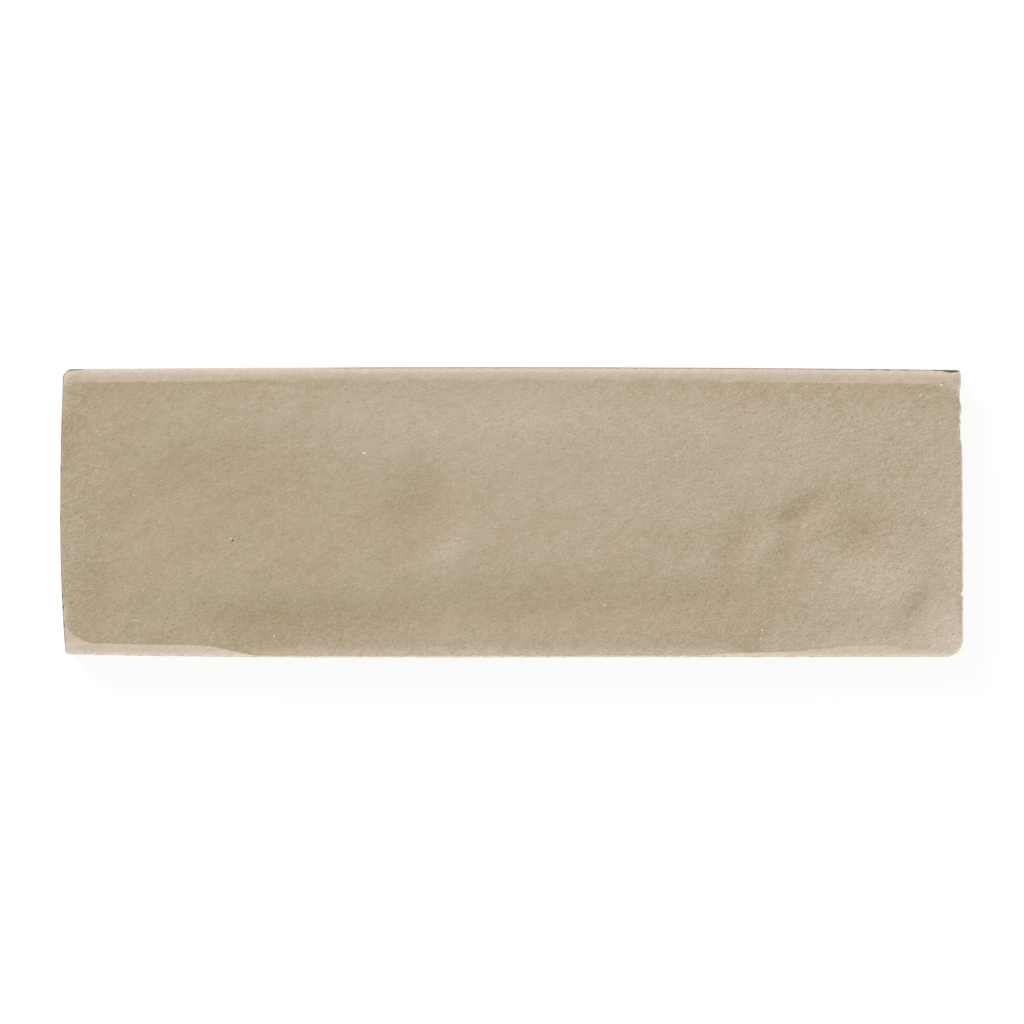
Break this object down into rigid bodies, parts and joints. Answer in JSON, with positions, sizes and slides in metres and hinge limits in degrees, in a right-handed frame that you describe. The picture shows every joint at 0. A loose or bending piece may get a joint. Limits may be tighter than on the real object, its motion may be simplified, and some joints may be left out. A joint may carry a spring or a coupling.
{
  "type": "textured ceramic tile",
  "caption": "Rectangular glazed wall tile with an uneven hand-finished face, soft rolled edges and a ribbed back for adhesive.",
  "frame": {"origin": "middle of the tile's footprint, on the bedding plane of its back", "axes": "+X along the tile's length, to the right as the face is seen; +Y across it, to the back edge; +Z out of the glazed face"},
  "size_m": [0.2, 0.0642, 0.0087],
  "materials": {
    "glaze": "satin"
  },
  "bodies": {
    "root": {"tile": "glaze"}
  },
  "joints": []
}
